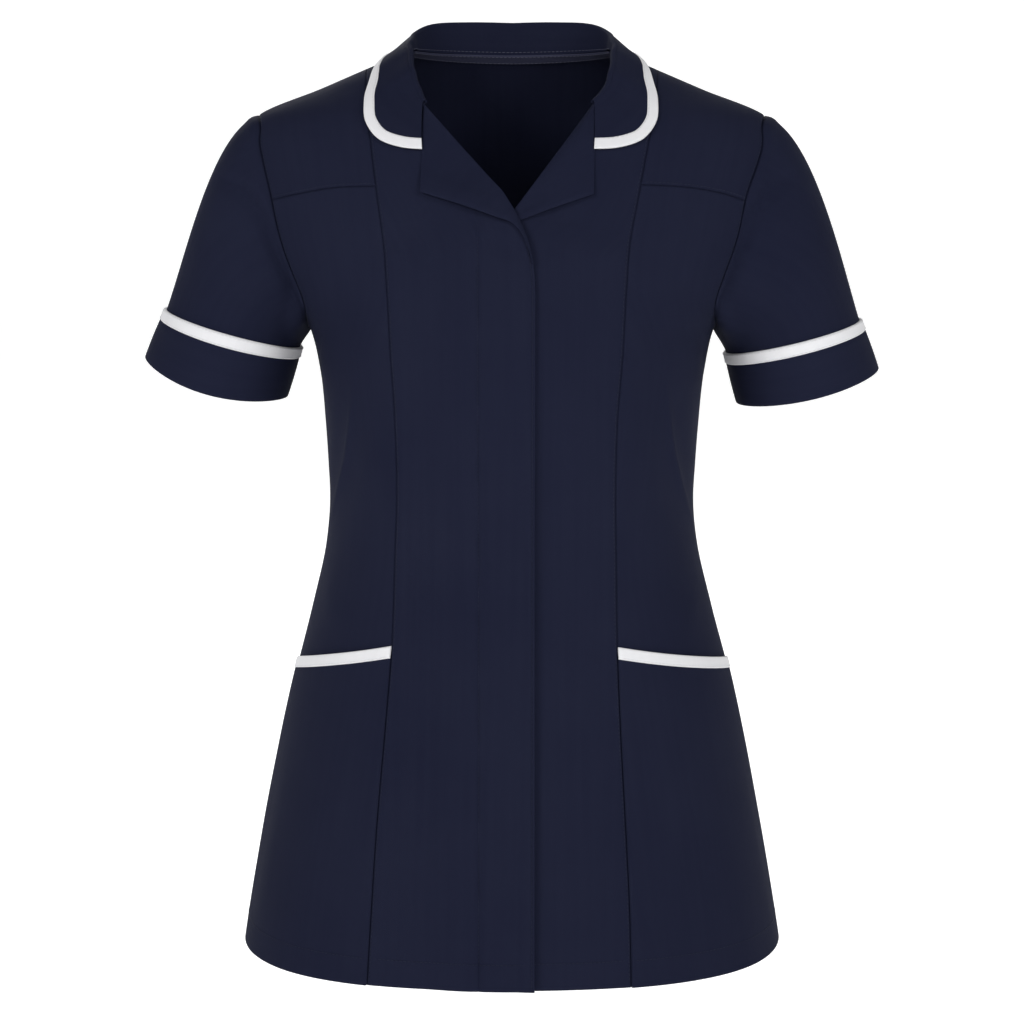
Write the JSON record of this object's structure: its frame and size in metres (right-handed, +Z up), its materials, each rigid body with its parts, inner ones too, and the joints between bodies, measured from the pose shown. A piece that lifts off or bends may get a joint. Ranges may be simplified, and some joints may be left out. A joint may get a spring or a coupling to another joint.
{
  "type": "medical tunic",
  "caption": "Short-sleeved hip-length tunic filled out as if worn, with a bound collar, crossed reveres, princess seams, turned-up cuffs and bound lower pockets.",
  "frame": {"origin": "middle of the wearer's neck, at the level of the two side neck points, where the wearer holds the tunic up", "axes": "+X to the wearer's left, -Y the way the front faces, +Z up"},
  "size_m": [0.5742, 0.3035, 0.7263],
  "materials": {
    "navy_cloth": "matt navy polyester-cotton twill",
    "white_binding": "matt white woven binding"
  },
  "bodies": {
    "root": {"front_centre_right": "navy_cloth", "front_centre_left": "navy_cloth", "front_yoke_right": "navy_cloth", "front_yoke_left": "navy_cloth", "side_front_right": "navy_cloth", "side_front_left": "navy_cloth", "pocket_right": "navy_cloth", "pocket_left": "navy_cloth", "pocket_trim_right": "white_binding", "pocket_trim_left": "white_binding", "sleeve_right": "navy_cloth", "sleeve_left": "navy_cloth", "cuff_right": "navy_cloth", "cuff_left": "navy_cloth", "cuff_trim_right": "white_binding", "cuff_trim_left": "white_binding", "revere_right": "navy_cloth", "revere_left": "navy_cloth", "back_yoke": "navy_cloth", "back": "navy_cloth", "collar": "navy_cloth", "collar_trim": "white_binding", "neck_tape": "navy_cloth"}
  },
  "joints": []
}
